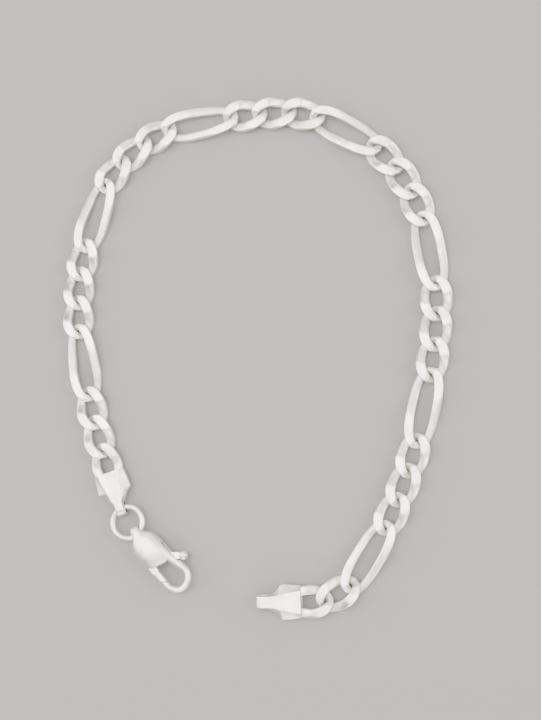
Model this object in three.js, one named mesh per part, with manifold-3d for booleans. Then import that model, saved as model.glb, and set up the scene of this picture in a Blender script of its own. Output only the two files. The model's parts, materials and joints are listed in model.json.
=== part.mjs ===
// A Figaro chain bracelet in polished silver, unfastened and laid in an open loop on a flat surface.
// Millimetres, +Z up. X and Y lie in the surface. The finished group stands with its lowest point at
// z = 0 and the middle of its box over the origin.
//
// The chain repeats three short curb links and one long link. Each end runs into a folded end cap
// with the last link soldered in its mouth. A jump ring joins one cap to a lobster clasp, whose
// lever turns on a rivet.
import * as THREE from "three";
import { mergeVertices } from "three/addons/utils/BufferGeometryUtils.js";
import Module from "manifold-3d";

const wasm = await Module();
wasm.setup();

// ---- driving dimensions ----

const chain = {
  thickness: 1.9, // between the two flattened faces
  play: 0.14, // slack where one link pulls on the next
  wireSteps: 16, // stations round a link
  wireSides: 6, // sides of the wire's section
};

// pitch: how far one link carries the chain. side: centre of a strand from the link's middle line.
// strand, end: the wire's width as seen from above, at the side and at the end. height: the wire's
// height before its faces are flattened. rise: how far the twist lifts a strand over its neighbour.
// squareness: 2 is an ellipse, more is squarer.
const linkKinds = {
  short: { pitch: 4.6, side: 1.74, strand: 1.46, end: 1.15, height: 1.15, rise: 0.88, squareness: 2 },
  long: { pitch: 10.0, side: 1.8, strand: 1.34, end: 1.15, height: 1.15, rise: 1.0, squareness: 2.5 },
};

// Where the chain lies, from the clasp's end to the free end: the heading in degrees of each long
// link and of the two end caps, and of the short link midway to the next row.
const lay = {
  start: { x: -25.6, y: -16.1 }, // middle of the first soldered link
  nearLong: 0.58, // share of the turn that the run's first short link has made towards the middle one
  slide: 0.1, // how far a link would slide outwards, and back, on a neighbour at a right angle to it
  rows: [
    { at: "clasp_side_end_cap", heading: 109.5, midway: null },
    { at: "long_link_1", heading: 100, midway: 86 },
    { at: "long_link_2", heading: 71.5, midway: 39 },
    { at: "long_link_3", heading: 8, midway: 0.5 },
    { at: "long_link_4", heading: -30, midway: -59 },
    { at: "long_link_5", heading: -80, midway: -95 },
    { at: "long_link_6", heading: -102, midway: -110 },
    { at: "long_link_7", heading: -121, midway: null },
    { at: "free_side_end_cap", heading: -178.5, midway: null },
  ],
};

// An end cap, from its mouth at along = 0 to the fold at its neck. plate: half width of the flat
// faces. side: half width of the whole cap. rim: half height of its side wall.
const cap = {
  length: 6.95,
  halfHeight: 1.1,
  midHeight: 1.12, // of the cap's middle plane over the surface
  rim: 0.42,
  rimShare: 0.55, // most of the half height that the side wall takes where the neck thins
  linkToMouth: 1.3, // from the soldered link's middle to the mouth
  linkStub: 1.2, // how far the soldered wire runs into the cap
  rows: [
    { along: 0, side: 2.4, plate: 1.68 },
    { along: 1.7, side: 2.58, plate: 1.4 },
    { along: 2.95, side: 2.62, plate: 1.1 },
    { along: 3.55, side: 1.95, plate: 1.0 },
    { along: 4.4, side: 1.3, plate: 0.85 },
  ],
  neck: { along: 5.1, flare: 0.1, edge: 0.13 }, // flare: wider where it starts. edge: its bevel
  neckSides: { clasp_side_end_cap: 0.75, free_side_end_cap: 0.98 }, // half width of the folded neck
  foldRadius: 0.98, // round end of the folded neck, seen from the side
  foldAngles: [0, 30, 55, 78],
  tunnel: { along: 5.84, halfLength: 0.86, halfHeight: 0.6 },
  tunnelReach: 3, // half length of the cut, past both sides of the widest neck
};

const ring = {
  radius: 2.4, // to the middle of the wire
  wire: 0.86,
  fromCap: -62, // heading from the cap's neck to the ring's middle
  toClasp: -45, // heading from the ring's middle to the clasp's eye
  capWire: 5.8, // where its wire crosses the cap's tunnel, from the mouth
};

// The clasp's own frame: x runs from the eye to the hook's round end, y to the side of the thumb
// knob, and z = 0 is its middle plane. The ring's wire crosses the eye at x = eyeWire.
const clasp = {
  heading: -48,
  midHeight: 1.5,
  eyeWire: 0.6,
  tunnel: { along: 0.7, halfLength: 0.88, halfHeight: 0.62 },
  bodySides: 14,
  bodySquareness: 2.3,
  body: [
    { along: -0.64, low: -0.35, high: 0.35, height: 1.0 },
    { along: -0.46, low: -0.62, high: 0.62, height: 1.5 },
    { along: -0.14, low: -0.82, high: 0.82, height: 1.9 },
    { along: 0.45, low: -1.0, high: 0.98, height: 2.0 },
    { along: 1.0, low: -1.4, high: 1.32, height: 2.2 },
    { along: 1.5, low: -1.82, high: 1.68, height: 2.5 },
    { along: 2.1, low: -2.14, high: 1.98, height: 2.75 },
    { along: 3.0, low: -2.38, high: 2.16, height: 2.95 },
    { along: 4.1, low: -2.46, high: 2.22, height: 3.0 },
    { along: 5.0, low: -2.4, high: 2.22, height: 2.85 },
    { along: 5.7, low: -2.2, high: 2.18, height: 2.6 },
    { along: 6.1, low: -1.85, high: 2.08, height: 2.35 },
    { along: 6.45, low: -0.9, high: 1.95, height: 2.05 },
    { along: 6.7, low: 0.2, high: 1.5, height: 1.7 },
  ],
  hook: {
    root: { x: 4.9, y: 1.25 },
    middle: { x: 9.5, y: 0.25 }, // of its round end
    radius: 1.86,
    noseX: 8.88,
    noseSlant: 0.64, // how much further the nose's inner corner sits back
    rootHalf: { width: 0.85, height: 0.98 },
    endHalf: { width: 0.52, height: 0.6 },
    slim: 0.5, // share of its length over which it slims down from its root
    steps: 22,
    sides: 10,
  },
  // reach: how far past the back it is cut. front: how far past the open hook. inner, spread: the
  // corner between the gate and the thumb arm.
  slot: { halfHeight: 0.56, gap: 0.14, reach: 5.2, front: 1, inner: 1.4, spread: 2.6 },
  rivet: { radius: 0.34, halfHeight: 1.42 },
};

const lever = {
  pivot: { x: 4.3, y: -1.0 },
  opens: 29, // degrees of room, towards the inside of the hook: one more than its travel
  halfThickness: 0.45,
  boss: 0.85,
  hole: 0.48,
  gate: { low: -2.16, high: -1.1, from: 5.9, step: 6.3, tipLow: 8.38, tipHigh: 9.06 },
  crook: [{ x: 0.9, y: 0.45 }, { x: 0, y: 0.3 }], // inner corner between the gate and the thumb arm
  thumb: { heading: 51, halfWidth: 0.55, taperAt: 4.4, knobAt: 5.5, knob: 0.73, neck: 0.4 },
};

const silver = { color: 0xdcdad5, roughness: 0.2, metalness: 1 };

// ---- helpers ----

const radians = THREE.MathUtils.degToRad;

function direction(heading) {
  return new THREE.Vector2(Math.cos(radians(heading)), Math.sin(radians(heading)));
}

// A skin over a row of rings, closed at both ends or joined end to end. Each ring turns from the
// right-hand side of the travel up to +Z.
function skin(rings, joined) {
  const count = rings[0].length;
  const points = rings.flat();
  const index = [];
  const bands = joined ? rings.length : rings.length - 1;
  for (let i = 0; i < bands; i += 1) {
    const here = i * count;
    const next = ((i + 1) % rings.length) * count;
    for (let j = 0; j < count; j += 1) {
      const k = (j + 1) % count;
      index.push(here + j, next + j, here + k);
      index.push(here + k, next + j, next + k);
    }
  }
  if (!joined) {
    const last = (rings.length - 1) * count;
    for (let j = 1; j < count - 1; j += 1) {
      index.push(0, j, j + 1);
      index.push(last, last + j + 1, last + j);
    }
  }
  return new THREE.BufferGeometry().setFromPoints(points).setIndex(index);
}

function solid(geometry) {
  const bare = geometry.clone();
  bare.deleteAttribute("normal");
  bare.deleteAttribute("uv");
  const merged = mergeVertices(bare, 1e-4);
  return new wasm.Manifold(
    new wasm.Mesh({
      numProp: 3,
      vertProperties: merged.attributes.position.array,
      triVerts: new Uint32Array(merged.index.array),
    }),
  );
}

function geometryOf(made) {
  const { vertProperties, triVerts } = made.getMesh();
  return new THREE.BufferGeometry()
    .setAttribute("position", new THREE.BufferAttribute(vertProperties, 3))
    .setIndex(new THREE.BufferAttribute(triVerts, 1));
}

// A flat outline, thickened evenly to both sides of z = 0.
function plate(shape, halfHeight, curveSegments = 16) {
  const options = { depth: 2 * halfHeight, bevelEnabled: false, curveSegments };
  return new THREE.ExtrudeGeometry(shape, options).translate(0, 0, -halfHeight);
}

function outline(corners) {
  return new THREE.Shape(corners.map(({ x, y }) => new THREE.Vector2(x, y)));
}

// A hole with round ends that runs across a neck or an eye, for the jump ring's wire.
function tunnelSolid({ along, halfLength, halfHeight }) {
  const straight = halfLength - halfHeight;
  const shape = new THREE.Shape();
  shape.absarc(straight, 0, halfHeight, -Math.PI / 2, Math.PI / 2);
  shape.absarc(-straight, 0, halfHeight, Math.PI / 2, (3 * Math.PI) / 2);
  return solid(plate(shape, cap.tunnelReach, 6).rotateX(Math.PI / 2).translate(along, 0, 0));
}

function addMesh(group, name, geometry) {
  const mesh = new THREE.Mesh(geometry, new THREE.MeshStandardMaterial(silver));
  mesh.name = name;
  group.add(mesh);
  return mesh;
}

function power(value, exponent) {
  return Math.sign(value) * Math.abs(value) ** exponent;
}

// ---- links ----

// A curb link along +Y. Its wire runs round a flat oval, and rises and dips twice on the way: high
// at the upper right and lower left, low at the other two corners. So it passes over one strand and
// under the other of each neighbour. Its faces are cut flat at half the chain's thickness.
function linkGeometry(kind) {
  const { pitch, side, strand, end, height, rise, squareness } = linkKinds[kind];
  const half = (pitch + end + chain.play) / 2;
  const place = (turn) =>
    new THREE.Vector2(
      side * power(Math.cos(turn), 2 / squareness),
      half * power(Math.sin(turn), 2 / squareness),
    );
  const flat = chain.thickness / 2;
  const rings = [];
  for (let i = 0; i < chain.wireSteps; i += 1) {
    const turn = (2 * Math.PI * i) / chain.wireSteps;
    const small = 1e-3;
    const travel = place(turn + small).sub(place(turn - small)).normalize();
    const middle = place(turn);
    const lift = rise * Math.sin(2 * turn);
    const halfWidth = (end + (strand - end) * Math.abs(Math.cos(turn))) / 2;
    const ringPoints = [];
    for (let j = 0; j < chain.wireSides; j += 1) {
      const around = (2 * Math.PI * j) / chain.wireSides;
      const out = halfWidth * Math.cos(around);
      const up = lift + (height / 2) * Math.sign(Math.round(2 * Math.sin(around)));
      ringPoints.push(
        new THREE.Vector3(
          middle.x + travel.y * out,
          middle.y - travel.x * out,
          THREE.MathUtils.clamp(up, -flat, flat),
        ),
      );
    }
    rings.push(ringPoints);
  }
  return skin(rings, true);
}

// Where the chain bends, a link slides to the outside of the bend and back a little.
function slideOnBend(before, after) {
  const far = lay.slide * Math.sin(radians(before - after));
  const mean = (before + after) / 2;
  return direction(mean + 90).multiplyScalar(far).sub(direction(mean).multiplyScalar(Math.abs(far)));
}

// The chain from end to end: each link's kind, place and heading.
function layChain() {
  const links = [];
  const last = lay.rows.length - 1;
  lay.rows.forEach((row, i) => {
    const isCap = i === 0 || i === last;
    links.push({ name: row.at, kind: isCap ? "short" : "long", heading: row.heading });
    if (i === last) return;
    const next = lay.rows[i + 1].heading;
    if (row.midway === null) {
      const shorts = i === 0 ? 2 : 1;
      for (let n = 1; n <= shorts; n += 1) {
        const share = n / (shorts + 1);
        links.push({ kind: "short", heading: THREE.MathUtils.lerp(row.heading, next, share) });
      }
    } else {
      links.push({ kind: "short", heading: THREE.MathUtils.lerp(row.heading, row.midway, lay.nearLong) });
      links.push({ kind: "short", heading: row.midway });
      links.push({ kind: "short", heading: THREE.MathUtils.lerp(next, row.midway, lay.nearLong) });
    }
  });
  const place = new THREE.Vector2(lay.start.x, lay.start.y);
  let shortCount = 0;
  links.forEach((link, i) => {
    if (!link.name) {
      shortCount += 1;
      link.name = `short_link_${String(shortCount).padStart(2, "0")}`;
    }
    const step = direction(link.heading).multiplyScalar(linkKinds[link.kind].pitch / 2);
    if (i > 0) place.add(step).add(slideOnBend(links[i - 1].heading, link.heading));
    link.place = place.clone();
    place.add(step);
  });
  return links;
}

// ---- end caps ----

// A cap along +X from its mouth to its neck, with the soldered link reaching back out of the mouth.
function capGeometry(name) {
  const neckSide = cap.neckSides[name];
  const section = ({ along, side, plate: flat, halfHeight }) => {
    const rim = Math.min(cap.rim, cap.rimShare * halfHeight);
    const corners = [
      [-side, -rim],
      [-flat, -halfHeight],
      [flat, -halfHeight],
      [side, -rim],
      [side, rim],
      [flat, halfHeight],
      [-flat, halfHeight],
      [-side, rim],
    ];
    return corners.map(([across, up]) => new THREE.Vector3(along, across, up)).reverse();
  };
  const rows = cap.rows.map((row) => ({ ...row, halfHeight: cap.halfHeight }));
  const plateSide = neckSide - cap.neck.edge;
  rows.push({
    along: cap.neck.along,
    side: neckSide + cap.neck.flare,
    plate: plateSide,
    halfHeight: (cap.halfHeight + cap.foldRadius) / 2,
  });
  for (const degrees of cap.foldAngles) {
    rows.push({
      along: cap.length - cap.foldRadius + cap.foldRadius * Math.sin(radians(degrees)),
      side: neckSide,
      plate: plateSide,
      halfHeight: cap.foldRadius * Math.cos(radians(degrees)),
    });
  }
  let made = solid(skin(rows.map(section), false));
  made = made.subtract(tunnelSolid(cap.tunnel));
  const linkMiddle = new THREE.Matrix4().makeTranslation(-cap.linkToMouth, 0, 0);
  const turned = new THREE.Matrix4().makeRotationZ(Math.PI / 2);
  const link = linkGeometry("short").applyMatrix4(turned).applyMatrix4(linkMiddle);
  link.translate(0, 0, chain.thickness / 2 - cap.midHeight);
  // What lies deeper in the cap than the stub is cut away by a block that takes in the rest.
  const block = 2 * linkKinds.short.pitch;
  const keep = new THREE.BoxGeometry(block, block, block).translate(cap.linkStub - block / 2, 0, 0);
  return geometryOf(made.add(solid(link).intersect(solid(keep))));
}

// ---- jump ring ----

function ringGeometry() {
  return geometryOf(solid(new THREE.TorusGeometry(ring.radius, ring.wire / 2, 6, 16)));
}

// ---- clasp ----

function claspBodyShell() {
  const rings = clasp.body.map(({ along, low, high, height }) => {
    const points = [];
    for (let j = 0; j < clasp.bodySides; j += 1) {
      const around = (2 * Math.PI * (j + 0.5)) / clasp.bodySides;
      const across = power(Math.cos(around), 2 / clasp.bodySquareness);
      const up = power(Math.sin(around), 2 / clasp.bodySquareness);
      const y = (low + high) / 2 - ((high - low) / 2) * across;
      points.push(new THREE.Vector3(along, y, (height / 2) * up));
    }
    return points;
  });
  return solid(skin(rings, false));
}

// The hook: straight from the body along the knob's side, round the end, and back to its nose.
function hookSolid() {
  const { root, middle, radius, noseX, noseSlant, rootHalf, endHalf, slim, steps, sides } = clasp.hook;
  const path = new THREE.CurvePath();
  const top = new THREE.Vector2(middle.x, middle.y + radius);
  const bottom = new THREE.Vector2(middle.x, middle.y - radius);
  path.add(new THREE.LineCurve(new THREE.Vector2(root.x, root.y), top));
  path.add(new THREE.EllipseCurve(middle.x, middle.y, radius, radius, Math.PI / 2, -Math.PI / 2, true));
  path.add(new THREE.LineCurve(bottom, new THREE.Vector2(noseX, bottom.y)));
  const rings = [];
  for (let i = 0; i <= steps; i += 1) {
    const share = i / steps;
    const point = path.getPointAt(share);
    const travel = path.getTangentAt(share).normalize();
    const blend = THREE.MathUtils.smoothstep(share, 0, slim);
    const halfWidth = THREE.MathUtils.lerp(rootHalf.width, endHalf.width, blend);
    const halfHeight = THREE.MathUtils.lerp(rootHalf.height, endHalf.height, blend);
    const slant = i === steps ? noseSlant / 2 / halfWidth : 0;
    const points = [];
    for (let j = 0; j < sides; j += 1) {
      const around = (2 * Math.PI * (j + 0.5)) / sides;
      const out = halfWidth * Math.cos(around);
      const back = slant * out; // the nose leans back towards its inner corner
      points.push(
        new THREE.Vector3(
          point.x + travel.y * out - travel.x * back,
          point.y - travel.x * out - travel.y * back,
          halfHeight * Math.sin(around),
        ),
      );
    }
    rings.push(points);
  }
  return solid(skin(rings, false));
}

// The room the lever swings in: round the pivot, forward to the open hook, and out of the back from
// where the thumb arm rests to where it opens to.
function slotSolid() {
  const { x, y } = lever.pivot;
  const { halfHeight, gap, reach, front, inner, spread } = clasp.slot;
  const clear = lever.thumb.halfWidth + gap;
  // A point at a distance along a heading from the pivot, and to its right.
  const from = (heading, along, right) => {
    const way = direction(heading);
    return { x: x + way.x * along + way.y * right, y: y + way.y * along - way.x * right };
  };
  const rest = lever.thumb.heading;
  const open = rest + lever.opens;
  const wedge = outline([
    { x, y: y - lever.boss - gap },
    { x: lever.gate.from, y: lever.gate.low - gap },
    { x: lever.gate.from + front, y: lever.gate.low - gap },
    { x: lever.gate.from + front, y: y + inner },
    from(rest, spread, clear),
    from(rest, reach, clear),
    from(open, reach, -clear),
    from(open, 0, -clear),
  ]);
  const around = new THREE.Shape().absarc(x, y, lever.boss + gap, 0, 2 * Math.PI);
  return solid(plate(wedge, halfHeight)).add(solid(plate(around, halfHeight, 12)));
}

function claspBodyGeometry() {
  const { tunnel, rivet } = clasp;
  const pin = new THREE.CylinderGeometry(rivet.radius, rivet.radius, 2 * rivet.halfHeight, 12);
  pin.rotateX(Math.PI / 2).translate(lever.pivot.x, lever.pivot.y, 0);
  const made = claspBodyShell().add(hookSolid()).subtract(slotSolid());
  return geometryOf(made.subtract(tunnelSolid(tunnel)).add(solid(pin)));
}

// The lever about its own pivot: a flat boss on the rivet, the gate that closes the hook, and the
// thumb arm with its round knob.
function leverGeometry() {
  const { pivot, halfThickness, boss, hole, gate, crook, thumb } = lever;
  const about = (x, y) => ({ x: x - pivot.x, y: y - pivot.y });
  const arm = direction(thumb.heading);
  const onArm = (along, across) => ({
    x: arm.x * along + arm.y * across,
    y: arm.y * along - arm.x * across,
  });
  const gateArm = outline([
    { x: 0, y: -boss },
    about(gate.from, gate.low),
    about(gate.tipLow, gate.low),
    about(gate.tipHigh, gate.high),
    about(gate.step, gate.high),
    ...crook,
  ]);
  const thumbArm = outline([
    onArm(0, thumb.halfWidth),
    onArm(thumb.taperAt, thumb.halfWidth),
    onArm(thumb.knobAt, thumb.neck),
    onArm(thumb.knobAt, -thumb.neck),
    onArm(thumb.taperAt, -thumb.halfWidth),
    onArm(0, -thumb.halfWidth),
  ]);
  const disc = new THREE.Shape().absarc(0, 0, boss, 0, 2 * Math.PI);
  const knob = new THREE.SphereGeometry(thumb.knob, 12, 8);
  const knobPlace = onArm(thumb.knobAt, 0);
  knob.translate(knobPlace.x, knobPlace.y, 0);
  const bore = new THREE.CylinderGeometry(hole, hole, 4 * halfThickness, 16).rotateX(Math.PI / 2);
  const made = solid(plate(disc, halfThickness, 10))
    .add(solid(plate(gateArm, halfThickness)))
    .add(solid(plate(thumbArm, halfThickness)))
    .add(solid(knob))
    .subtract(solid(bore));
  return geometryOf(made);
}

// ---- assembly ----

function addChain(group) {
  const links = layChain();
  const geometries = { short: linkGeometry("short"), long: linkGeometry("long") };
  const ends = {};
  for (const { name, kind, place, heading } of links) {
    if (name in cap.neckSides) {
      ends[name] = { place, heading };
      continue;
    }
    const mesh = addMesh(group, name, geometries[kind]);
    mesh.position.set(place.x, place.y, chain.thickness / 2);
    mesh.rotation.z = radians(heading - 90);
  }
  return ends;
}

// Puts a cap past its soldered link and returns the mouth's place and the heading towards the neck.
function addCap(group, name, { place, heading }, outward) {
  const towardsNeck = outward > 0 ? heading : heading + 180;
  const mouth = place.clone().add(direction(towardsNeck).multiplyScalar(cap.linkToMouth));
  const mesh = addMesh(group, name, capGeometry(name));
  mesh.position.set(mouth.x, mouth.y, cap.midHeight);
  mesh.rotation.z = radians(towardsNeck);
  return { mouth, towardsNeck };
}

// The ring's middle lies off the cap's neck. It tips a little, because the clasp's eye sits higher.
function addRing(group, { mouth, towardsNeck }) {
  const atCap = mouth.clone().add(direction(towardsNeck).multiplyScalar(ring.capWire));
  const middle = atCap.clone().add(direction(ring.fromCap).multiplyScalar(ring.radius));
  const atClasp = middle.clone().add(direction(ring.toClasp).multiplyScalar(ring.radius));
  const tilt = Math.atan2(clasp.midHeight - cap.midHeight, 2 * ring.radius);
  const turned = new THREE.Group();
  turned.position.set(middle.x, middle.y, (clasp.midHeight + cap.midHeight) / 2);
  turned.rotation.z = radians((ring.fromCap + ring.toClasp) / 2);
  group.add(turned);
  addMesh(turned, "jump_ring", ringGeometry()).rotation.y = -tilt;
  return atClasp;
}

function addClasp(group, eye) {
  const forward = direction(clasp.heading);
  const assembly = new THREE.Group();
  assembly.position.set(
    eye.x - forward.x * clasp.eyeWire,
    eye.y - forward.y * clasp.eyeWire,
    clasp.midHeight,
  );
  assembly.rotation.z = radians(clasp.heading);
  addMesh(assembly, "clasp_body", claspBodyGeometry());
  addMesh(assembly, "clasp_lever", leverGeometry()).position.set(lever.pivot.x, lever.pivot.y, 0);
  group.add(assembly);
}

const bracelet = new THREE.Group();
bracelet.name = "figaro_bracelet";
const ends = addChain(bracelet);
addCap(bracelet, "free_side_end_cap", ends.free_side_end_cap, 1);
const claspSide = addCap(bracelet, "clasp_side_end_cap", ends.clasp_side_end_cap, -1);
const eye = addRing(bracelet, claspSide);
addClasp(bracelet, eye);

const box = new THREE.Box3().setFromObject(bracelet, true);
const middle = box.getCenter(new THREE.Vector3());
bracelet.position.set(-middle.x, -middle.y, -box.min.z);

export default bracelet;
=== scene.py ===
import json
from math import atan2, cos, pi, radians, sin

import bmesh
import bpy
import numpy as np
from mathutils import Euler, Matrix, Vector
from mathutils.bvhtree import BVHTree


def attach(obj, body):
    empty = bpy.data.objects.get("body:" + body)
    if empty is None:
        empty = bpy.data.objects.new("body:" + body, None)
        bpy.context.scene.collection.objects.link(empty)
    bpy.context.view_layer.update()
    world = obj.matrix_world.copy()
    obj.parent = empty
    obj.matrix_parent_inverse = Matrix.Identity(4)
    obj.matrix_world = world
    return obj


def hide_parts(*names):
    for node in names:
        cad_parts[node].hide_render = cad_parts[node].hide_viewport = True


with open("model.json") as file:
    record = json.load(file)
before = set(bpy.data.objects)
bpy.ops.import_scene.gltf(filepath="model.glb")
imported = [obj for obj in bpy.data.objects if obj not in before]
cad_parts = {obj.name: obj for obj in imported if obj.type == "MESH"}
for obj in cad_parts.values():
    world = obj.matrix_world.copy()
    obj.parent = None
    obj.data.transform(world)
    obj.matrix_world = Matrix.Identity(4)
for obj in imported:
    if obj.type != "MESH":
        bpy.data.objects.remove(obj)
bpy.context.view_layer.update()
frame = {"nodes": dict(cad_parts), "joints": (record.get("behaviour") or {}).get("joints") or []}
mm = 0.001
toMetres = Matrix.Scale(mm, 4)


# A node with its settings. An input takes a value, a socket, or a node's first output.
def addNode(tree, kind, inputs=(), **settings):
    node = tree.nodes.new(kind)
    for name, value in settings.items():
        setattr(node, name, value)
    pairs = inputs.items() if isinstance(inputs, dict) else enumerate(inputs)
    for key, value in pairs:
        if isinstance(value, bpy.types.Node):
            value = value.outputs[0]
        if isinstance(value, bpy.types.NodeSocket):
            tree.links.new(value, node.inputs[key])
        elif value is not None:
            node.inputs[key].default_value = value
    return node


# Noise whose features are about size mm across.
def addNoise(tree, where, size, detail):
    return addNode(tree, "ShaderNodeTexNoise", {"Vector": where, "Scale": 1 / (size * mm), "Detail": detail})


# Maps a value from one pair of limits to another, and keeps it inside them.
def addRange(tree, value, old=(0.0, 1.0), new=(0.0, 1.0), **settings):
    inputs = {"Value": value, "From Min": old[0], "From Max": old[1], "To Min": new[0], "To Max": new[1]}
    return addNode(tree, "ShaderNodeMapRange", inputs, **settings)


# An sRGB hex colour as linear red, green, blue and alpha.
def linear(hexColour):
    channels = [int(hexColour[i : i + 2], 16) / 255 for i in (1, 3, 5)]
    return [c / 12.92 if c <= 0.04045 else ((c + 0.055) / 1.055) ** 2.4 for c in channels] + [1.0]


viewpoint = {
    "aim": (2.62, -0.88, 0.0),  # mm, near the middle of the loop
    "distance": 170.0,  # mm
    "tiltX": 4.53,  # degrees: from straight down, tipped back and then to the right
    "tiltY": 9.81,
    "fieldOfView": 36.0,  # degrees, along the long side of the picture
    "nearest": 10.0,  # mm: what is closer isn't drawn
}
softBoxes = [
    {"name": "overheadBox", "at": (-60, 30, 420), "size": 330, "watts": 3.3},  # mm, mm, W
    {"name": "rightBox", "at": (340, 40, 225), "size": 330, "watts": 2.6},
    {"name": "frontBox", "at": (60, -380, 200), "size": 310, "watts": 1.9},
    {"name": "backBox", "at": (60, 380, 180), "size": 310, "watts": 1.0},
    {"name": "leftBox", "at": (-370, 50, 235), "size": 430, "watts": 3.4},
]
room = {"colour": "#e4e6ea", "strength": 0.25}
table = {
    "side": 3.0,  # metres
    "colour": "#868481",
    "fleckSize": 0.35,  # mm
    "fleckTone": (0.96, 1.03),
    "roughness": 0.9,
    "gloss": 0.2,
}


def placeCamera():
    data = bpy.data.cameras.new("viewer")
    data.sensor_fit = "VERTICAL"
    data.angle_y = radians(viewpoint["fieldOfView"])
    data.clip_start = viewpoint["nearest"] * mm
    turned = Euler((radians(viewpoint["tiltX"]), radians(viewpoint["tiltY"]), 0)).to_matrix()
    camera = bpy.data.objects.new("viewer", data)
    offset = turned @ Vector((0, 0, viewpoint["distance"] * mm))
    camera.matrix_world = Matrix.Translation(Vector(viewpoint["aim"]) * mm + offset) @ turned.to_4x4()
    bpy.context.scene.collection.objects.link(camera)
    bpy.context.scene.camera = camera


def placeLights():
    for box in softBoxes:
        data = bpy.data.lights.new(box["name"], "AREA")
        data.size = box["size"] * mm
        data.energy = box["watts"]
        light = bpy.data.objects.new(box["name"], data)
        at = Vector(box["at"]) * mm
        light.location = at
        light.rotation_euler = (-at).to_track_quat("-Z", "Y").to_euler()
        bpy.context.scene.collection.objects.link(light)
    world = bpy.data.worlds.new("room")
    world.use_nodes = True
    background = world.node_tree.nodes["Background"]
    background.inputs["Color"].default_value = linear(room["colour"])
    background.inputs["Strength"].default_value = room["strength"]
    bpy.context.scene.world = world


def newMaterial(name):
    material = bpy.data.materials.new(name)
    material.use_nodes = True
    material.node_tree.nodes.clear()
    return material, material.node_tree


# Matt paper: no gloss to speak of, and a faint fleck.
def paperMaterial():
    material, tree = newMaterial("mattPaper")
    where = addNode(tree, "ShaderNodeTexCoord").outputs["Object"]
    fleck = addNoise(tree, where, table["fleckSize"], 3)
    lift = addRange(tree, fleck, new=table["fleckTone"])
    tone = addNode(tree, "ShaderNodeHueSaturation", {"Color": linear(table["colour"]), "Value": lift})
    paper = addNode(tree, "ShaderNodeBsdfPrincipled", {"Base Color": tone, "Roughness": table["roughness"]})
    paper.inputs["Specular IOR Level"].default_value = table["gloss"]
    addNode(tree, "ShaderNodeOutputMaterial", {"Surface": paper})
    return material


def layFloor():
    half = table["side"] / 2
    mesh = bpy.data.meshes.new("floor")
    corners = [(-half, -half, 0), (half, -half, 0), (half, half, 0), (-half, half, 0)]
    mesh.from_pydata(corners, [], [(0, 1, 2, 3)])
    mesh.materials.append(paperMaterial())
    floor = bpy.data.objects.new("floor", mesh)
    bpy.context.scene.collection.objects.link(floor)


placeCamera()
placeLights()
layFloor()
print("stage: camera, lights and floor")


# Sterling silver is a warm near-white metal. Polished, it keeps a haze of fine wear scratches, and a
# grey-brown film of sulphide is left in the recesses that a cloth doesn't reach. The film is laid
# where neighbours cover the metal and shade falls, so it is partly real tarnish and partly painted shade.
polish = {
    "bright": "#f6f4ee",
    "dull": "#dedad0",  # where handling has softened the polish
    # Grey-brown of the sulphide film, which is also painted shade where neighbours cover the metal.
    "filmAndShade": "#8b8172",
    "filmAndShadeDepth": 0.4,
    "filmAndShadeMottle": (0.6, 1.25),  # how unevenly the film and its painted shade lie
    "filmRoughness": 0.25,  # added where the film is full
    "wearPatch": 2.6,  # mm
    "wearLimits": (0.42, 0.68),  # of the noise: bright below them, worn above
    "scratchWidth": 0.05,  # mm: real ones are finer, and wouldn't show
    "scratchLength": 1.4,
    "scratchLimits": (0.6, 0.72),  # of the noise: only its peaks are scratches
    "scratchRoughness": 0.12,
}


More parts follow.
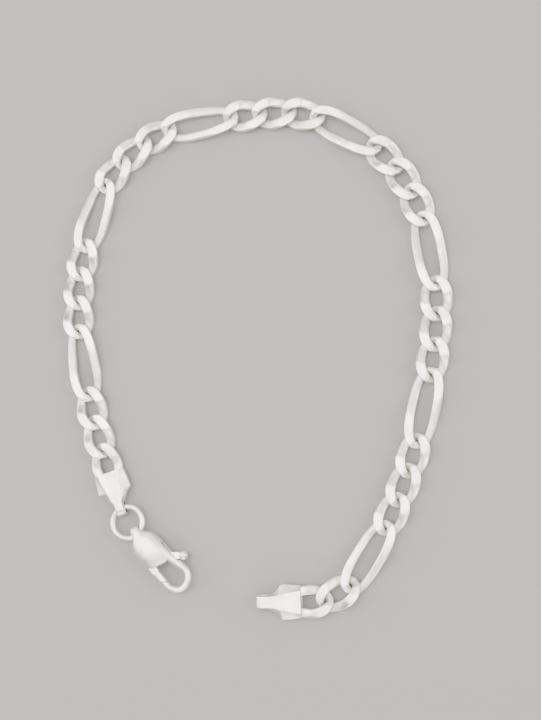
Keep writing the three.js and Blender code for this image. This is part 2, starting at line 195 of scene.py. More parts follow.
# finish: roughness of the bright and of the worn metal, the size of its shallow dents and the depth of
# its marks in mm, how much of that depth the scratches take, and which ways they run in degrees.
def silverMaterial(name, finish):
    material, tree = newMaterial(name)
    where = addNode(tree, "ShaderNodeTexCoord").outputs["Object"]
    patches = addNoise(tree, where, polish["wearPatch"], 4)
    worn = addRange(tree, patches, old=polish["wearLimits"])

    # Two sets of scratches that cross.
    marks = []
    for angle in finish["scratchAngles"]:
        laid = addNode(
            tree,
            "ShaderNodeMapping",
            {
                "Vector": where,
                "Rotation": (0, 0, radians(angle)),
                "Scale": [1 / (polish[k] * mm) for k in ("scratchLength", "scratchWidth", "scratchWidth")],
            },
        )
        lines = addNode(tree, "ShaderNodeTexNoise", {"Vector": laid, "Scale": 1.0, "Detail": 2})
        marks.append(addRange(tree, lines, old=polish["scratchLimits"]))
    scratches = addNode(tree, "ShaderNodeMath", marks, operation="MAXIMUM")

    # The recess mask, mottled: sulphide film that is also painted shade where neighbours cover the metal.
    recess = addNode(tree, "ShaderNodeAttribute", attribute_name="recess").outputs["Fac"]
    mottled = addRange(tree, patches, new=polish["filmAndShadeMottle"])
    filmAndShade = addNode(tree, "ShaderNodeMath", [recess, mottled], operation="MULTIPLY", use_clamp=True)
    filmAndShadeShare = addNode(tree, "ShaderNodeMath", [filmAndShade, polish["filmAndShadeDepth"]], operation="MULTIPLY")

    metal = addNode(
        tree,
        "ShaderNodeMix",
        {0: worn, 6: linear(polish["bright"]), 7: linear(polish["dull"])},
        data_type="RGBA",
    ).outputs[2]
    # The metal is darkened towards the film's grey-brown in the recesses: partly tarnish, partly painted
    # shade.
    colour = addNode(
        tree, "ShaderNodeMix", {0: filmAndShadeShare, 6: metal, 7: linear(polish["filmAndShade"])}, data_type="RGBA"
    ).outputs[2]

    base = addRange(tree, worn, new=(finish["bright"], finish["worn"]))
    scuffed = addNode(
        tree, "ShaderNodeMath", [scratches, polish["scratchRoughness"], base], operation="MULTIPLY_ADD"
    )
    roughness = addNode(
        tree, "ShaderNodeMath", [filmAndShadeShare, polish["filmRoughness"], scuffed], operation="MULTIPLY_ADD"
    )

    dents = addNoise(tree, where, finish["dentSize"], 1)
    height = addNode(
        tree, "ShaderNodeMath", [scratches, -finish["scratchShare"], dents], operation="MULTIPLY_ADD"
    )
    bump = addNode(
        tree, "ShaderNodeBump", {"Height": height, "Strength": 1.0, "Distance": finish["markDepth"] * mm}
    )
    surface = addNode(
        tree,
        "ShaderNodeBsdfPrincipled",
        {"Base Color": colour, "Metallic": 1.0, "Roughness": roughness, "Normal": bump},
    )
    addNode(tree, "ShaderNodeOutputMaterial", {"Surface": surface})
    return material


# Keeps a finished mesh as a piece of its own that rides on a body.
def keepPiece(name, mesh, body, replacedNodes):
    mesh.name = name
    piece = bpy.data.objects.new(name, mesh)
    bpy.context.scene.collection.objects.link(piece)
    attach(piece, body)
    if replacedNodes:
        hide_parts(*replacedNodes)
    return piece


# How close, in mm, corners lie to the level or the end that they belong to.
topWithin = 0.01
endWithin = 0.05


# A CAD node's corners, each once, in mm.
def cornersOf(node):
    points = np.array([corner.co for corner in frame["nodes"][node].data.vertices]) / mm
    return np.unique(points.round(4), axis=0)


# The heading, in radians, of the long axis of points seen from above.
def longAxis(points):
    flat = points[:, :2] - points[:, :2].mean(0)
    values, vectors = np.linalg.eigh(flat.T @ flat)
    along = vectors[:, values.argmax()]
    return atan2(along[1], along[0])


# A link lies at the middle of its corners, along their long axis.
def linkPlace(node):
    points = cornersOf(node)
    return Vector(points.mean(0)), longAxis(points) - pi / 2


# A cap's flat top shows its axis: it is widest at the mouth and narrows towards the neck.
def capPlace(node):
    points = cornersOf(node)
    top = points[points[:, 2] > points[:, 2].max() - topWithin]
    heading = longAxis(top)
    axis = np.array([cos(heading), sin(heading)])
    along = top[:, :2] @ axis
    ends = [top[np.abs(along - limit) < endWithin][:, :2] for limit in (along.min(), along.max())]
    widths = [np.ptp(end @ np.array([-axis[1], axis[0]])) for end in ends]
    if widths[1] > widths[0]:
        ends.reverse()
        heading += pi
    mouth = ends[0].mean(0)
    bottom = points[points[:, 2] < endWithin]
    return Vector((mouth[0], mouth[1], (top[0, 2] + bottom[:, 2].max()) / 2)), heading


def ringPlace(node):
    points = cornersOf(node)
    middle = points.mean(0)
    values, vectors = np.linalg.eigh((points - middle).T @ (points - middle))
    normal = Vector(vectors[:, values.argmin()])
    if normal.z < 0:
        normal.negate()
    return Vector(middle), Vector((0, 0, 1)).rotation_difference(normal).to_euler()


# The clasp's frame runs from its eye to the hook's round end. The rivet and the knob fix it.
def claspPlace():
    pivot = Vector(frame["joints"][0]["pos_m"]) / mm
    points = cornersOf("clasp_lever")
    knob = points[points[:, 2] > pivot.z + leverForm["knobClears"]].mean(0)
    heading = atan2(knob[1] - pivot.y, knob[0] - pivot.x) - radians(leverForm["thumb"]["heading"])
    turned = Matrix.Rotation(heading, 4, "Z")
    corner = pivot - turned @ Vector((*leverForm["pivot"], 0))
    return corner, heading


# All in mm: Side and Half are the wire's middle line, Strand and End its width from above at the
# side and at the end, Rise the twist.
linkWire = {
    "short": {"Side": 1.74, "Half": 2.945, "Strand": 1.46, "End": 1.15, "Height": 1.15, "Rise": 0.88},
    "long": {"Side": 1.8, "Half": 5.645, "Strand": 1.34, "End": 1.15, "Height": 1.15, "Rise": 0.88},
    "ring": {"Side": 2.4, "Half": 2.4, "Strand": 0.86, "End": 0.86, "Height": 0.86, "Rise": 0.0},
}
# Squareness of the loop and Section of the wire are 2 when round and squarer above it. Crossing is
# how steeply the twist passes from one level to the other, Face half the mm between the rolled faces.
linkShape = {
    "short": {"Squareness": 2.0, "Crossing": 1.1, "Section": 3.6, "Face": 0.95, "Steps": 72, "Sides": 24},
    "long": {"Squareness": 2.5, "Crossing": 1.1, "Section": 3.6, "Face": 0.95, "Steps": 112, "Sides": 24},
    "ring": {"Squareness": 2.0, "Crossing": 1.0, "Section": 2.0, "Face": 2.0, "Steps": 96, "Sides": 24},
}
finishes = {
    "rolled": {
        "bright": 0.36, "worn": 0.48, "dentSize": 0.6,
        "markDepth": 0.004, "scratchShare": 0.4, "scratchAngles": (20, -50),
    },
    "stamped": {
        "bright": 0.34, "worn": 0.46, "dentSize": 1.1,
        "markDepth": 0.006, "scratchShare": 0.3, "scratchAngles": (75, -12),
    },
    "cast": {
        "bright": 0.4, "worn": 0.5, "dentSize": 1.4,
        "markDepth": 0.008, "scratchShare": 0.2, "scratchAngles": (40, -65),
    },
    "drawn": {
        "bright": 0.4, "worn": 0.5, "dentSize": 0.9,
        "markDepth": 0.003, "scratchShare": 0.3, "scratchAngles": (5, 60),
    },
}
faceBlend = 0.34  # mm: how softly a rolled face runs into the round of the wire
seamMerge = 0.002  # mm: corners closer than this are one
# The half of a link that is soldered into a cap is pressed flat: by this much, and over this stretch
# of the loop, where -1 is its free end and 1 its soldered end.
tuck = {"much": 0.8, "limits": (-0.6, 0.5)}
# Where a link's film and painted shade lie: how near its end, how far inside the loop, how low under
# the crossing.
filmAndShadeLimits = {"end": (0.5, 0.95), "inside": (0.1, -0.75), "below": (-0.35, -0.95)}


# |value| to a power, with value's sign.
def signedPowerTree():
    tree = bpy.data.node_groups.new("signedPower", "GeometryNodeTree")
    for name in ("Value", "Exponent"):
        tree.interface.new_socket(name, in_out="INPUT", socket_type="NodeSocketFloat")
    tree.interface.new_socket("Result", in_out="OUTPUT", socket_type="NodeSocketFloat")
    given = addNode(tree, "NodeGroupInput")
    size = addNode(tree, "ShaderNodeMath", [given.outputs["Value"]], operation="ABSOLUTE")
    raised = addNode(tree, "ShaderNodeMath", [size, given.outputs["Exponent"]], operation="POWER")
    sign = addNode(tree, "ShaderNodeMath", [given.outputs["Value"]], operation="SIGN")
    result = addNode(tree, "ShaderNodeMath", [raised, sign], operation="MULTIPLY")
    addNode(tree, "NodeGroupOutput", [result])
    return tree


# A closed loop of wire on each point of a mesh. A flat grid is wrapped round: its x goes round the
# loop and its y round the wire. The loop is a flat oval that rises and dips twice, so it passes over
# one strand and under the other of each neighbour.
def wireLoopTree():
    tree = bpy.data.node_groups.new("wireLoop", "GeometryNodeTree")
    tree.interface.new_socket("Places", in_out="INPUT", socket_type="NodeSocketGeometry")
    sizes = ("Side", "Half", "Strand", "End", "Height", "Rise", "Face")
    for name in (*sizes, "Squareness", "Crossing", "Section", "Tuck"):
        tree.interface.new_socket(name, in_out="INPUT", socket_type="NodeSocketFloat")
    for name in ("Steps", "Sides"):
        tree.interface.new_socket(name, in_out="INPUT", socket_type="NodeSocketInt")
    tree.interface.new_socket("Silver", in_out="INPUT", socket_type="NodeSocketMaterial")
    tree.interface.new_socket("Wire", in_out="OUTPUT", socket_type="NodeSocketGeometry")
    given = addNode(tree, "NodeGroupInput").outputs
    signedPower = signedPowerTree()

    countX = addNode(tree, "ShaderNodeMath", [given["Steps"], 1.0], operation="ADD")
    countY = addNode(tree, "ShaderNodeMath", [given["Sides"], 1.0], operation="ADD")
    grid = addNode(tree, "GeometryNodeMeshGrid", [1.0, 1.0, countX, countY])
    spot = addNode(tree, "ShaderNodeSeparateXYZ", [addNode(tree, "GeometryNodeInputPosition")]).outputs
    turn = addNode(tree, "ShaderNodeMath", [spot["X"], 2 * pi], operation="MULTIPLY")
    around = addNode(tree, "ShaderNodeMath", [spot["Y"], 2 * pi], operation="MULTIPLY")
    cosTurn = addNode(tree, "ShaderNodeMath", [turn], operation="COSINE")
    sinTurn = addNode(tree, "ShaderNodeMath", [turn], operation="SINE")
    cosAround = addNode(tree, "ShaderNodeMath", [around], operation="COSINE")
    sinAround = addNode(tree, "ShaderNodeMath", [around], operation="SINE")

    # How far along the soldered half a point is, times the tuck.
    soldered = addRange(tree, sinTurn, old=tuck["limits"], interpolation_type="SMOOTHSTEP")
    tucked = addNode(tree, "ShaderNodeMath", [soldered, given["Tuck"]], operation="MULTIPLY")
    kept = addNode(tree, "ShaderNodeMath", [1.0, tucked], operation="SUBTRACT")

    # The middle line, and which way is outwards from it.
    oval = addNode(tree, "ShaderNodeMath", [2.0, given["Squareness"]], operation="DIVIDE")
    outer = addNode(tree, "ShaderNodeMath", [2.0, oval], operation="SUBTRACT")
    powers = [
        addNode(tree, "GeometryNodeGroup", [value, exponent], node_tree=signedPower)
        for exponent in (oval, outer)
        for value in (cosTurn, sinTurn)
    ]
    middleX = addNode(tree, "ShaderNodeMath", [powers[0], given["Side"]], operation="MULTIPLY")
    middleY = addNode(tree, "ShaderNodeMath", [powers[1], given["Half"]], operation="MULTIPLY")
    outX = addNode(tree, "ShaderNodeMath", [powers[2], given["Side"]], operation="DIVIDE")
    outY = addNode(tree, "ShaderNodeMath", [powers[3], given["Half"]], operation="DIVIDE")
    outwards = addNode(
        tree,
        "ShaderNodeVectorMath",
        [addNode(tree, "ShaderNodeCombineXYZ", [outX, outY])],
        operation="NORMALIZE",
    )

    # The wire's section, wider at the sides of the loop than at its ends.
    sideShare = addNode(tree, "ShaderNodeMath", [cosTurn], operation="ABSOLUTE")
    width = addRange(tree, sideShare, new=(given["End"], given["Strand"]))
    roundness = addNode(tree, "ShaderNodeMath", [2.0, given["Section"]], operation="DIVIDE")
    sectionX = addNode(tree, "GeometryNodeGroup", [cosAround, roundness], node_tree=signedPower)
    sectionZ = addNode(tree, "GeometryNodeGroup", [sinAround, roundness], node_tree=signedPower)
    halfWidth = addNode(tree, "ShaderNodeMath", [width, 0.5], operation="MULTIPLY")
    halfHeight = addNode(tree, "ShaderNodeMath", [given["Height"], 0.5], operation="MULTIPLY")
    out = addNode(tree, "ShaderNodeMath", [sectionX, halfWidth], operation="MULTIPLY")
    up = addNode(tree, "ShaderNodeMath", [sectionZ, halfHeight], operation="MULTIPLY")

    # The twist, and the rolled faces above and below.
    twist = addNode(tree, "ShaderNodeMath", [sinTurn, cosTurn], operation="MULTIPLY")
    doubled = addNode(tree, "ShaderNodeMath", [twist, 2.0], operation="MULTIPLY")
    steeper = addNode(tree, "ShaderNodeMath", [doubled, given["Crossing"]], operation="MULTIPLY")
    level = addNode(tree, "ShaderNodeMath", [steeper], operation="TANH")
    lift = addNode(tree, "ShaderNodeMath", [level, given["Rise"]], operation="MULTIPLY")
    keptLift = addNode(tree, "ShaderNodeMath", [lift, kept], operation="MULTIPLY")
    raised = addNode(tree, "ShaderNodeMath", [up, keptLift], operation="ADD")
    bottom = addNode(tree, "ShaderNodeMath", [given["Face"], -1.0], operation="MULTIPLY")
    rolled = addNode(tree, "ShaderNodeMath", [raised, given["Face"], faceBlend * mm], operation="SMOOTH_MIN")
    rolled = addNode(tree, "ShaderNodeMath", [rolled, bottom, faceBlend * mm], operation="SMOOTH_MAX")

    middle = addNode(tree, "ShaderNodeCombineXYZ", [middleX, middleY, rolled])
    shifted = addNode(tree, "ShaderNodeVectorMath", {0: outwards, "Scale": out}, operation="SCALE")
    placed = addNode(tree, "ShaderNodeVectorMath", [middle, shifted], operation="ADD")

    # Film gathers, and painted shade is laid, where the neighbour bears and covers the wire: at the loop's
    # ends, inside it and under the crossing.
    atEnd = addNode(tree, "ShaderNodeMath", [sinTurn], operation="ABSOLUTE")
    nearEnd, inside, below = (
        addRange(tree, value, old=filmAndShadeLimits[where], interpolation_type="SMOOTHSTEP")
        for value, where in ((atEnd, "end"), (cosAround, "inside"), (doubled, "below"))
    )
    bearing = addNode(tree, "ShaderNodeMath", [nearEnd, inside], operation="MULTIPLY")
    filmAndShadeMask = addNode(tree, "ShaderNodeMath", [below, bearing], operation="MAXIMUM")
    stored = addNode(
        tree,
        "GeometryNodeStoreNamedAttribute",
        {"Geometry": grid, "Name": "recess", "Value": filmAndShadeMask},
        data_type="FLOAT",
        domain="POINT",
    )
    wrapped = addNode(tree, "GeometryNodeSetPosition", {"Geometry": stored, "Position": placed})
    closed = addNode(tree, "GeometryNodeMergeByDistance", {"Geometry": wrapped, "Distance": seamMerge * mm})
    smooth = addNode(tree, "GeometryNodeSetShadeSmooth", {"Geometry": closed})

    turned = addNode(
        tree, "GeometryNodeInputNamedAttribute", {"Name": "turned"}, data_type="FLOAT_VECTOR"
    )
    copies = addNode(
        tree,
        "GeometryNodeInstanceOnPoints",
        {
            "Points": given["Places"],
            "Instance": smooth,
            "Rotation": addNode(tree, "FunctionNodeEulerToRotation", [turned]),
        },
    )
    real = addNode(tree, "GeometryNodeRealizeInstances", [copies])
    finished = addNode(tree, "GeometryNodeSetMaterial", {"Geometry": real, "Material": given["Silver"]})
    addNode(tree, "NodeGroupOutput", [finished])
    return tree


# The tree's result on a list of places, as a plain mesh.
def sweepWire(tree, name, kind, places, material, tucked=0.0):
    points = bpy.data.meshes.new(name + "Places")
    points.from_pydata([middle * mm for middle, turned in places], [], [])
    turns = points.attributes.new("turned", "FLOAT_VECTOR", "POINT")
    turns.data.foreach_set("vector", [angle for middle, turned in places for angle in turned])
    holder = bpy.data.objects.new(name + "Places", points)
    bpy.context.scene.collection.objects.link(holder)
    modifier = holder.modifiers.new("wireLoop", "NODES")
    modifier.node_group = tree
    sizes = {key: value * mm for key, value in linkWire[kind].items()}
    shape = dict(linkShape[kind])
    shape["Face"] *= mm
    values = {**sizes, **shape, "Tuck": tucked, "Silver": material}
    for item in tree.interface.items_tree:
        if item.item_type == "SOCKET" and item.in_out == "INPUT" and item.name in values:
            modifier[item.identifier] = values[item.name]
    evaluated = holder.evaluated_get(bpy.context.evaluated_depsgraph_get())
    mesh = bpy.data.meshes.new_from_object(evaluated)
    bpy.data.objects.remove(holder)
    return mesh


wireLoop = wireLoopTree()
rolledSilver = silverMaterial("rolledSterlingSilver", finishes["rolled"])
stampedSilver = silverMaterial("stampedSterlingSilver", finishes["stamped"])
castSilver = silverMaterial("castSterlingSilver", finishes["cast"])
drawnSilver = silverMaterial("drawnSterlingSilver", finishes["drawn"])
capPlaces = {node: capPlace(node) for node in ("clasp_side_end_cap", "free_side_end_cap")}


def makeChain():
    for kind, name in (("short", "shortLinks"), ("long", "longLinks")):
        nodes = sorted(node for node in frame["nodes"] if node.startswith(kind + "_link"))
        places = [(middle, (0, 0, heading)) for middle, heading in map(linkPlace, nodes)]
        mesh = sweepWire(wireLoop, name, kind, places, rolledSilver)
        keepPiece(name, mesh, "bracelet", nodes)
        print(name, len(nodes), "links,", len(mesh.polygons), "faces")


makeChain()


# All in mm, in each piece's own frame. Cast and pressed silver has no sharp corners, so each body
# is joined and cut as shells, then wrapped in one fine skin that is smoothed a little.
skin = {"cell": 0.05, "passes": 5, "recessReach": 0.45}


# Rows of named columns, read at more places between them by a curve that doesn't overshoot.
def throughRows(rows, perRow):
    index = np.linspace(0, len(rows) - 1, perRow * (len(rows) - 1) + 1)
    low = np.minimum(index.astype(int), len(rows) - 2)
    share = index - low
    along = np.array([row["along"] for row in rows])
    read = {}
    for column in rows[0]:
        values = np.array([row[column] for row in rows])
        slopes = np.diff(values) / np.diff(along)
        tangents = np.concatenate([slopes[:1], np.zeros(len(rows) - 2), slopes[-1:]])
        for i in range(1, len(rows) - 1):
            if slopes[i - 1] * slopes[i] > 0:
                tangents[i] = 2 * slopes[i - 1] * slopes[i] / (slopes[i - 1] + slopes[i])
        step = np.diff(along)[low]
        read[column] = (
            values[low] * (1 + 2 * share) * (1 - share) ** 2
            + values[low + 1] * (3 - 2 * share) * share**2
            + tangents[low] * step * share * (1 - share) ** 2
            - tangents[low + 1] * step * (1 - share) * share**2
        )
    return [dict(zip(read, values)) for values in zip(*read.values())]


# Points round a section that runs from an ellipse at 2 towards a rectangle.
def sectionPoints(halfAcross, halfUp, squareness, sides):
    around = (np.arange(sides) + 0.5) * 2 * pi / sides
    across = np.sign(np.cos(around)) * np.abs(np.cos(around)) ** (2 / squareness)
    up = np.sign(np.sin(around)) * np.abs(np.sin(around)) ** (2 / squareness)
    return halfAcross * across, halfUp * up


# A closed shell over a row of rings.
def shell(rings):
    shape = bmesh.new()
    rows = [[shape.verts.new(point) for point in ring] for ring in rings]
    count = len(rows[0])
    for here, following in zip(rows, rows[1:]):
        for j in range(count):
            k = (j + 1) % count
            shape.faces.new((here[j], here[k], following[k], following[j]))
    shape.faces.new(rows[0])
    shape.faces.new(rows[-1])
    bmesh.ops.recalc_face_normals(shape, faces=shape.faces)
    return shape


# An outline in the plane, thickened evenly to both sides of it.
def plate(outline, half):
    return shell([[(x, y, z) for x, y in outline] for z in (-half, half)])


# A hole with round ends that runs across a neck or an eye, and reach mm out to each side.
def tunnel(along, halfLength, halfHeight, reach=3.0, steps=17):
    straight = halfLength - halfHeight
    turns = np.linspace(-pi / 2, pi / 2, steps)
    rounded = [(along + straight + halfHeight * cos(t), halfHeight * sin(t)) for t in turns]
    rounded += [(along - straight - halfHeight * cos(t), -halfHeight * sin(t)) for t in turns]
    return shell([[(x, y, z) for x, z in rounded] for y in (-reach, reach)])


def ball(middle, radius):
    shape = bmesh.new()
    bmesh.ops.create_uvsphere(shape, u_segments=40, v_segments=24, radius=radius)
    bmesh.ops.translate(shape, vec=middle, verts=shape.verts)
    return shape


def pin(middle, radius, half, steps=40):
    turns = np.linspace(0, 2 * pi, steps, endpoint=False)
    return plate([(middle[0] + radius * cos(t), middle[1] + radius * sin(t)) for t in turns], half)


def joined(shapes, name):
    mesh = bpy.data.meshes.new(name)
    whole = bmesh.new()
    for shape in shapes:
        shape.to_mesh(mesh)
        shape.free()
        whole.from_mesh(mesh)
    whole.to_mesh(mesh)
    whole.free()
    thing = bpy.data.objects.new(name, mesh)
    bpy.context.scene.collection.objects.link(thing)
    return thing


# Joins shells, cuts others out of them and wraps the rest in one skin, as a mesh in mm.
def castBody(name, shells, cutters):
    body = joined(shells, name)
    cutter = joined(cutters, name + "Cutter")
    cut = body.modifiers.new("cut", "BOOLEAN")
    cut.operation, cut.solver, cut.object, cut.use_self = "DIFFERENCE", "EXACT", cutter, True
    wrap = body.modifiers.new("wrap", "REMESH")
    wrap.mode, wrap.voxel_size = "VOXEL", skin["cell"]
    soften = body.modifiers.new("soften", "SMOOTH")
    soften.iterations = skin["passes"]
    mesh = bpy.data.meshes.new_from_object(body.evaluated_get(bpy.context.evaluated_depsgraph_get()))
    # Film and painted shade are laid in and beside what was cut, fading out over recessReach mm.
    cuts = BVHTree.FromObject(cutter, bpy.context.evaluated_depsgraph_get())
    recess = mesh.attributes.new("recess", "FLOAT", "POINT")
    near = [max(0.0, 1 - cuts.find_nearest(corner.co)[3] / skin["recessReach"]) for corner in mesh.vertices]
    recess.data.foreach_set("value", near)
    for thing in (body, cutter):
        bpy.data.objects.remove(thing)
    mesh.shade_smooth()
    return mesh


# Turns a finished mesh to its heading, puts it in place and makes it metres.
def setDown(mesh, middle, heading, material):
    mesh.transform(toMetres @ Matrix.Translation(middle) @ Matrix.Rotation(heading, 4, "Z"))
    mesh.materials.append(material)
    return mesh


# A cap runs from its mouth at along = 0 to a neck that is folded over. plate: half width of its flat
# faces. side: half width of the whole. up: half its height. rim: half height of its side wall.
capForm = {
    "rows": [
        {"along": 0.0, "side": 2.38, "plate": 1.68, "up": 1.1, "rim": 0.4},
        {"along": 1.6, "side": 2.55, "plate": 1.42, "up": 1.1, "rim": 0.42},
        {"along": 2.8, "side": 2.61, "plate": 1.14, "up": 1.1, "rim": 0.42},
        {"along": 3.02, "side": 2.53, "plate": 1.09, "up": 1.1, "rim": 0.42},
        {"along": 3.55, "side": 1.92, "plate": 0.99, "up": 1.1, "rim": 0.42},
        {"along": 4.4, "side": 1.26, "plate": 0.84, "up": 1.08, "rim": 0.46},
    ],
    "neckSide": {"clasp_side_end_cap": 0.75, "free_side_end_cap": 0.98},
    "neck": {"start": 5.15, "flare": 0.06, "bevel": 0.16, "up": 1.03, "rim": 0.6, "rimShare": 0.75},
    "fold": {"middle": 5.97, "radius": 0.98, "degrees": (0, 20, 40, 58, 74, 86)},
    "mouth": {"ahead": 1, "deep": 0.7, "half": 1.95, "up": 0.76},
    "tunnel": {"along": 5.84, "halfLength": 0.86, "halfHeight": 0.6},
    "linkBack": 1.3,  # from the mouth to the middle of the soldered link
}


def makeCap(node, name):
    side = capForm["neckSide"][node]
    neck = capForm["neck"]
    fold = capForm["fold"]
    flat = side - neck["bevel"]
    start = {"along": neck["start"], "side": side + neck["flare"], "plate": flat}
    rows = [*capForm["rows"], {**start, "up": neck["up"], "rim": neck["rim"]}]
    for degrees in fold["degrees"]:
        up = fold["radius"] * cos(radians(degrees))
        reached = fold["middle"] + fold["radius"] * sin(radians(degrees))
        rows.append({"along": reached, "side": side, "plate": flat, "up": up, "rim": neck["rimShare"] * up})
    rings = []
    for row in throughRows(rows, perRow=6):
        quarter = [(row["side"], row["rim"]), (row["plate"], row["up"])]
        right = quarter + [(-y, z) for y, z in reversed(quarter)]
        rings.append([(row["along"], y, z) for y, z in right + [(y, -z) for y, z in reversed(right)]])
    mouth = capForm["mouth"]
    corners = [(-mouth["ahead"], -mouth["half"]), (mouth["deep"], -mouth["half"])]
    corners += [(x, -y) for x, y in reversed(corners)]
    mesh = castBody(name, [shell(rings)], [plate(corners, mouth["up"]), tunnel(**capForm["tunnel"])])
    middle, heading = capPlaces[node]
    keepPiece(name, setDown(mesh, middle, heading, stampedSilver), "bracelet", [node])
    print(name, len(mesh.polygons), "faces")


# The last link at each end is soldered in its cap's mouth.
def makeSolderedLinks():
    places = []
    for middle, heading in capPlaces.values():
        back = Vector((cos(heading), sin(heading), 0)) * capForm["linkBack"]
        at = middle - back
        places.append((Vector((at.x, at.y, linkShape["short"]["Face"])), (0, 0, heading - pi / 2)))
    mesh = sweepWire(wireLoop, "solderedLinks", "short", places, rolledSilver, tuck["much"])
    keepPiece("solderedLinks", mesh, "bracelet", [])


def makeRing():
    middle, turned = ringPlace("jump_ring")
    mesh = sweepWire(wireLoop, "jumpRing", "ring", [(middle, tuple(turned))], drawnSilver)
    keepPiece("jumpRing", mesh, "bracelet", ["jump_ring"])


# The clasp runs from its eye along x to the hook's round end, with the thumb's knob towards +y.
claspForm = {
    "body": [
        {"along": -0.64, "low": -0.35, "high": 0.35, "up": 0.5},
        {"along": -0.46, "low": -0.62, "high": 0.62, "up": 0.75},
        {"along": -0.14, "low": -0.82, "high": 0.82, "up": 0.95},
        {"along": 0.45, "low": -1.0, "high": 0.98, "up": 1.0},
        {"along": 1.0, "low": -1.4, "high": 1.32, "up": 1.1},
        {"along": 1.5, "low": -1.82, "high": 1.68, "up": 1.25},
        {"along": 2.1, "low": -2.14, "high": 1.98, "up": 1.38},
        {"along": 3.0, "low": -2.38, "high": 2.16, "up": 1.47},
        {"along": 4.1, "low": -2.46, "high": 2.22, "up": 1.49},
        {"along": 5.0, "low": -2.4, "high": 2.22, "up": 1.42},
        {"along": 5.7, "low": -2.2, "high": 2.18, "up": 1.3},
        {"along": 6.1, "low": -1.85, "high": 2.08, "up": 1.17},
        {"along": 6.45, "low": -0.9, "high": 1.95, "up": 1.02},
        {"along": 6.7, "low": 0.2, "high": 1.5, "up": 0.85},
    ],
    "squareness": 2.3,
    "sides": 48,
    "eye": {"along": 0.7, "halfLength": 0.88, "halfHeight": 0.62},
    "slotHalf": 0.56,
    "slotGap": 0.14,
    "slotBack": 5.9,
    "slotFront": 6.9,
    "slotRise": 1.4,  # above the rivet, at the front
    "thumbRoom": (2.6, 5.2),  # from the rivet, along the thumb's arm
    "rivet": {"radius": 0.34, "half": 1.3, "edge": 0.05, "edgeSteps": 3},
}
hookForm = {
    "root": (4.9, 1.25),
    "middle": (9.5, 0.25),  # of its round end
    "radius": 1.86,
    "nose": 8.88,
    "noseSlant": 0.64,  # how much further the nose's inner corner sits back
    "rootHalf": (0.85, 0.98),  # across, up
    "endHalf": (0.52, 0.6),
    "slim": 0.5,  # share of its length over which it slims down
    "squareness": 2.2,
    "sides": 28,
}
leverForm = {
    "pivot": (4.3, -1.0),
    "half": 0.45,
    "boss": 0.85,
    "bore": 0.48,
    "boreHalf": 1.0,
    "knobClears": 0.5,  # only the knob stands this far above the lever's middle
    "opens": 29,  # degrees of room
    "arm": [(4.3, -1.85), (5.9, -2.16), (6.9, -2.16), (6.9, -1.1), (6.3, -1.1), (5.2, -0.55), (4.3, -0.7)],
    "gate": [
        {"along": 6.3, "low": -2.16, "high": -1.1, "up": 0.45},
        {"along": 6.7, "low": -2.16, "high": -1.1, "up": 0.45},
        {"along": 7.1, "low": -2.18, "high": -1.1, "up": 0.56},
        {"along": 8.72, "low": -2.18, "high": -1.1, "up": 0.56},
    ],
    "gateSlant": 0.34,
    "gateSquareness": 3.5,
    "gateSides": 32,
    "thumb": {"heading": 51.0, "half": 0.55, "taperAt": 4.4, "knobAt": 5.5, "knob": 0.73, "neck": 0.4},
}


# The hook goes straight from the body along the knob's side, round its end and back to its nose.
def hookShell():
    middle = Vector(hookForm["middle"])
    radius = hookForm["radius"]
    sideEnd = middle + Vector((0, radius))
    # Each stretch stops or starts just short of its neighbour, so no two rings lie in one place.
    path = [Vector(hookForm["root"]).lerp(sideEnd, share) for share in np.linspace(0, 0.97, 24)]
    path += [middle + radius * Vector((sin(t), cos(t))) for t in np.linspace(0.02, pi, 48)]
    path += [Vector((x, middle.y - radius)) for x in np.linspace(middle.x - 0.08, hookForm["nose"], 6)]
    lengths = np.concatenate([[0], np.cumsum([(b - a).length for a, b in zip(path, path[1:])])])
    rings = []
    for i, point in enumerate(path):
        travel = (path[min(i + 1, len(path) - 1)] - path[max(i - 1, 0)]).normalized()
        share = min(1.0, lengths[i] / lengths[-1] / hookForm["slim"])
        blend = share * share * (3 - 2 * share)
        halfAcross, halfUp = (a + (b - a) * blend for a, b in zip(hookForm["rootHalf"], hookForm["endHalf"]))
        out, up = sectionPoints(halfAcross, halfUp, hookForm["squareness"], hookForm["sides"])
        slant = hookForm["noseSlant"] / 2 / halfAcross if i == len(path) - 1 else 0.0
        rings.append(
            [
                (
                    point.x + travel.y * o - travel.x * slant * o,
                    point.y - travel.x * o - travel.y * slant * o,
                    u,
                )
                for o, u in zip(out, up)
            ]
        )
    return shell(rings)


# A shell along x through rows from low to high. Its last ring can lie on a slant.
def shellAlong(rows, squareness, sides, slant=0.0):
    rings = []
    for row in rows:
        across, up = sectionPoints((row["high"] - row["low"]) / 2, row["up"], squareness, sides)
        middle = (row["low"] + row["high"]) / 2
        lean = slant / across.max() if row is rows[-1] else 0.0
        rings.append([(row["along"] + lean * a, middle + a, u) for a, u in zip(across, up)])
    return shell(rings)


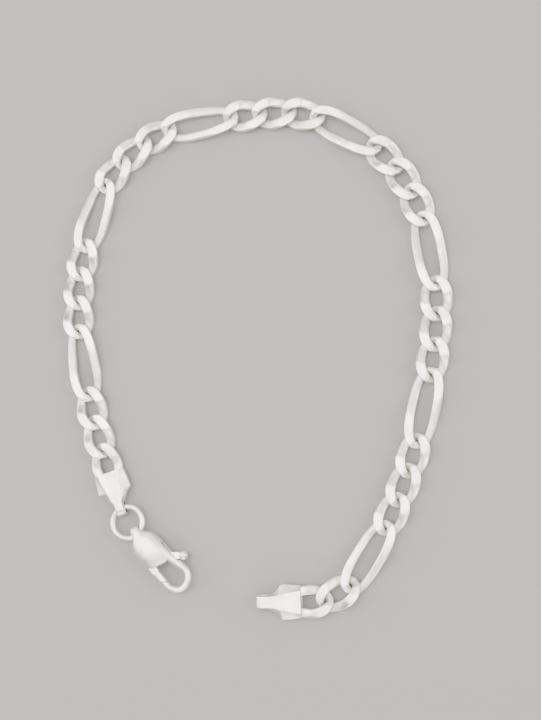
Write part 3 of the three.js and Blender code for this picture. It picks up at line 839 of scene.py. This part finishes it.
# The room the lever swings in: round the rivet, forward to the open hook and out of the back.
def slotShells():
    x, y = leverForm["pivot"]
    gap = claspForm["slotGap"]
    thumb = leverForm["thumb"]
    clear = thumb["half"] + gap
    rest = radians(thumb["heading"])
    opened = rest + radians(leverForm["opens"])

    def onHeading(heading, along, right):
        across = x + cos(heading) * along + sin(heading) * right
        return (across, y + sin(heading) * along - cos(heading) * right)

    low = leverForm["gate"][0]["low"] - gap
    near, far = claspForm["thumbRoom"]
    wedge = [
        (x, y - leverForm["boss"] - gap),
        (claspForm["slotBack"], low),
        (claspForm["slotFront"], low),
        (claspForm["slotFront"], y + claspForm["slotRise"]),
        onHeading(rest, near, clear),
        onHeading(rest, far, clear),
        onHeading(opened, far, -clear),
        onHeading(opened, 0, -clear),
    ]
    return [plate(wedge, claspForm["slotHalf"]), pin((x, y), leverForm["boss"] + gap, claspForm["slotHalf"])]


def makeClasp():
    middle, heading = claspPlace()
    body = shellAlong(throughRows(claspForm["body"], perRow=5), claspForm["squareness"], claspForm["sides"])
    mesh = castBody("claspBody", [body, hookShell()], slotShells() + [tunnel(**claspForm["eye"])])
    keepPiece("claspBody", setDown(mesh, middle, heading, castSilver), "bracelet", ["clasp_body"])
    print("claspBody", len(mesh.polygons), "faces")

    rivet = claspForm["rivet"]
    pinHead = joined([pin(leverForm["pivot"], rivet["radius"], rivet["half"])], "claspRivet")
    edge = pinHead.modifiers.new("edge", "BEVEL")
    edge.width, edge.segments = rivet["edge"], rivet["edgeSteps"]
    mesh = bpy.data.meshes.new_from_object(pinHead.evaluated_get(bpy.context.evaluated_depsgraph_get()))
    bpy.data.objects.remove(pinHead)
    keepPiece("claspRivet", setDown(mesh, middle, heading, drawnSilver), "bracelet", [])


def makeLever():
    middle, heading = claspPlace()
    x, y = leverForm["pivot"]
    thumb = leverForm["thumb"]
    arm = Vector((cos(radians(thumb["heading"])), sin(radians(thumb["heading"]))))

    def onArm(along, across):
        return (x + arm.x * along + arm.y * across, y + arm.y * along - arm.x * across)

    edge = [(0, thumb["half"]), (thumb["taperAt"], thumb["half"]), (thumb["knobAt"], thumb["neck"])]
    edge += [(along, -across) for along, across in reversed(edge)]
    gateRows = throughRows(leverForm["gate"], perRow=4)
    gate = shellAlong(gateRows, leverForm["gateSquareness"], leverForm["gateSides"], leverForm["gateSlant"])
    shells = [
        pin((x, y), leverForm["boss"], leverForm["half"]),
        plate(leverForm["arm"], leverForm["half"]),
        plate([onArm(along, across) for along, across in edge], leverForm["half"]),
        ball((*onArm(thumb["knobAt"], 0), 0), thumb["knob"]),
        gate,
    ]
    mesh = castBody("claspLever", shells, [pin((x, y), leverForm["bore"], leverForm["boreHalf"])])
    keepPiece("claspLever", setDown(mesh, middle, heading, castSilver), "lever", ["clasp_lever"])
    print("claspLever", len(mesh.polygons), "faces")


makeSolderedLinks()
makeRing()
makeCap("clasp_side_end_cap", "claspSideEndCap")
makeCap("free_side_end_cap", "freeSideEndCap")
makeClasp()
makeLever()
